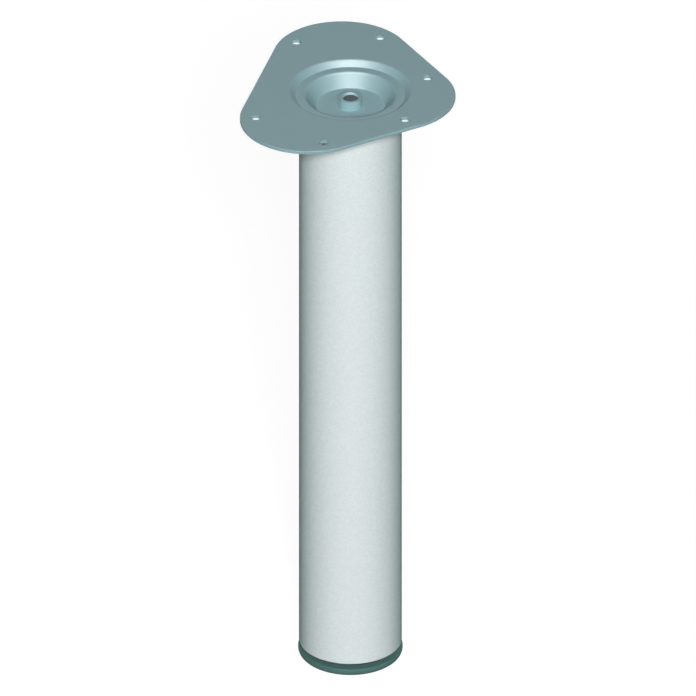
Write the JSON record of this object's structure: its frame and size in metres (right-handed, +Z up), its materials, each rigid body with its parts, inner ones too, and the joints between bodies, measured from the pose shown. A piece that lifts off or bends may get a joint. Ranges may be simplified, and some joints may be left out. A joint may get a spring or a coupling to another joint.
{
  "type": "table leg",
  "caption": "Round steel tube table leg with a triangular screw-on plate, dished to seat the tube's end, and a plastic foot adjusted by a screw.",
  "frame": {"origin": "on the tube's axis at the floor, in the middle of the foot pad's sole", "axes": "+Z up along the tube, +X towards the plate's right-angled corner, so that the leg is mirror-symmetric in Y"},
  "size_m": [0.1174, 0.1548, 0.378],
  "materials": {
    "plate_steel": "satin blue-grey coating on pressed sheet steel",
    "bush_steel": "satin blue-grey coating on turned steel",
    "tube_coating": "fine metallic silver powder coat on steel tube",
    "inner_steel": "plain pressed steel, not seen in use",
    "dark_steel": "black oxide steel bolt",
    "zinc_steel": "bright zinc plated steel",
    "plug_plastic": "moulded black plastic",
    "pad_plastic": "moulded dark slate-green plastic"
  },
  "bodies": {
    "foot": {"foot_pad": "pad_plastic"},
    "leg": {"mounting_plate": "plate_steel", "threaded_bush": "bush_steel", "leg_tube": "tube_coating", "stud_cup": "inner_steel", "leg_stud": "dark_steel", "stud_nut": "zinc_steel", "foot_plug": "plug_plastic", "foot_nut": "zinc_steel"},
    "spindle": {"foot_spindle": "zinc_steel"}
  },
  "joints": [
    {"name": "leg_rise", "type": "slide", "parent": "foot", "child": "leg", "axis": [0, 0, 1], "range_m": [0, 0.02]},
    {"name": "spindle_turn", "type": "hinge", "parent": "foot", "child": "spindle", "pos_m": [0, 0, 0.0067], "axis": [0, 0, -1], "range_deg": [0, 4800]}
  ],
  "couplings": [
    {"joint": "spindle_turn", "follows": "leg_rise", "rad_per_m": 4188.8}
  ]
}
